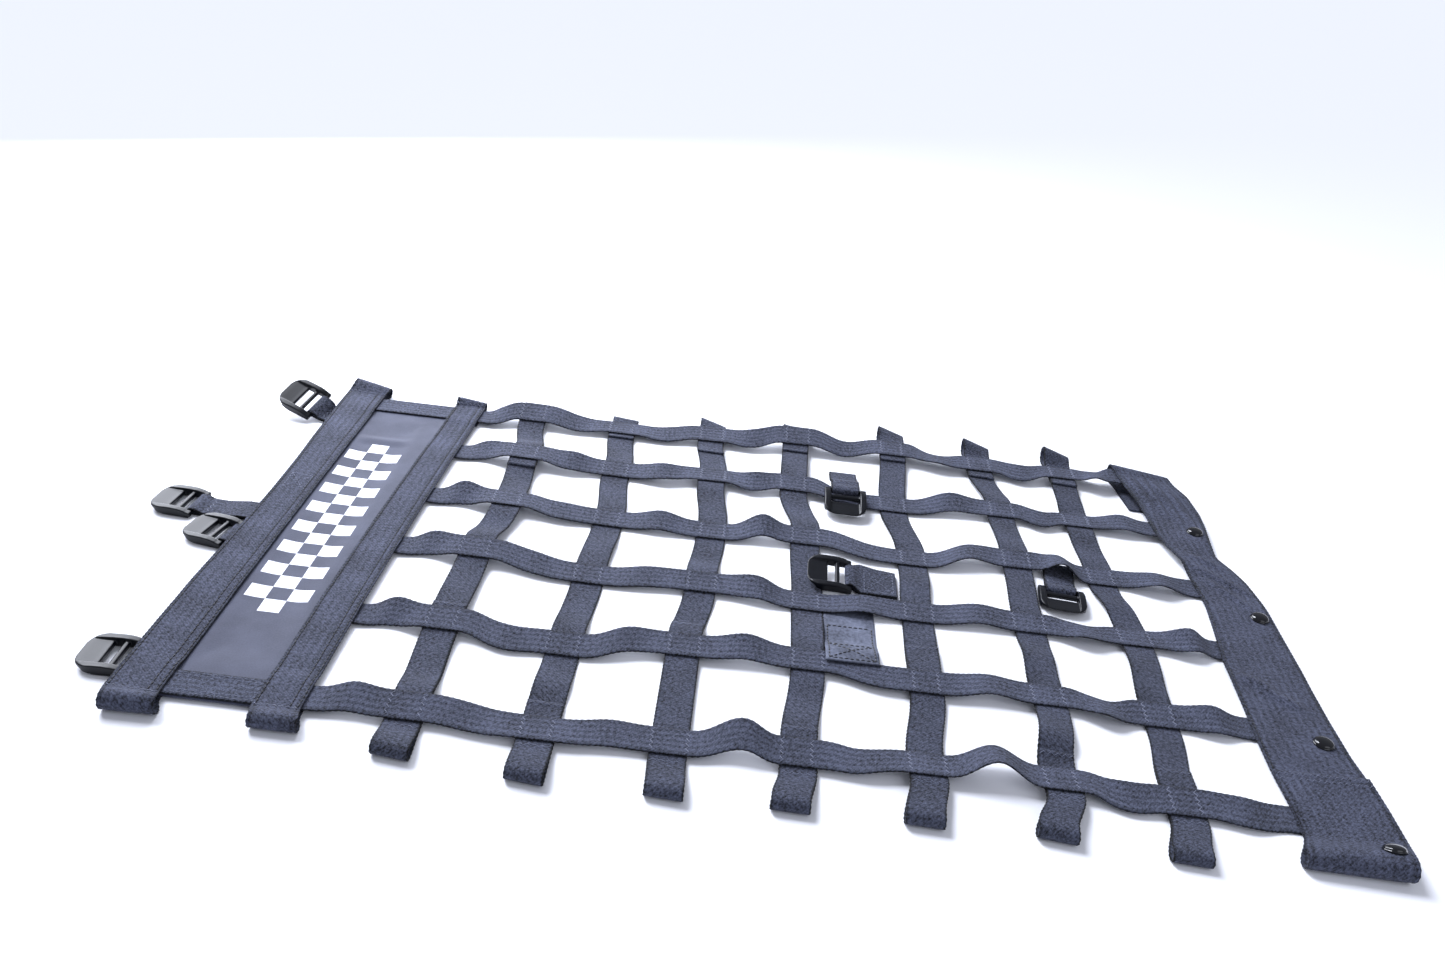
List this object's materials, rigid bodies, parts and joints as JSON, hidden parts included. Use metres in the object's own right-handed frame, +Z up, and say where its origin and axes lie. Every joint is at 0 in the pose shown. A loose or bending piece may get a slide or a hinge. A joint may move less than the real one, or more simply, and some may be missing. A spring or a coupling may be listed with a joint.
{
  "type": "racing window net",
  "caption": "Slack racing window net of sewn webbing straps with a solid panel at one end, rod loops along both long edges, strap buckles and a wide end band with snap caps.",
  "frame": {"origin": "centre of the outline on the surface that the net lies on", "axes": "+X along the net, from the panel to the end band; +Y to the far long edge; +Z up"},
  "size_m": [0.9324, 0.5638, 0.0258],
  "materials": {
    "webbing": "matte",
    "panel": "matte",
    "moulded": "gloss",
    "cap": "gloss",
    "tab": "matte"
  },
  "bodies": {
    "root": {"panel": "panel", "band_inner": "webbing", "band_outer": "webbing", "band_end": "webbing", "snap_cap_1": "cap", "snap_cap_2": "cap", "snap_cap_3": "cap", "snap_cap_4": "cap", "lengthwise_1": "webbing", "lengthwise_2": "webbing", "lengthwise_3": "webbing", "lengthwise_4": "webbing", "lengthwise_5": "webbing", "lengthwise_6": "webbing", "crosswise_1": "webbing", "crosswise_2": "webbing", "crosswise_3": "webbing", "crosswise_4": "webbing", "crosswise_5": "webbing", "crosswise_6": "webbing", "crosswise_7": "webbing", "tie_near": "webbing", "buckle_near": "moulded", "tie_mid_right": "webbing", "buckle_mid_right": "moulded", "tie_mid_left": "webbing", "buckle_mid_left": "moulded", "tie_far": "webbing", "buckle_far": "moulded", "tie_centre_far": "webbing", "buckle_centre_far": "moulded", "tie_centre_near": "webbing", "buckle_centre_near": "moulded", "tie_side": "webbing", "buckle_side": "moulded", "tab_centre": "tab"}
  },
  "joints": []
}
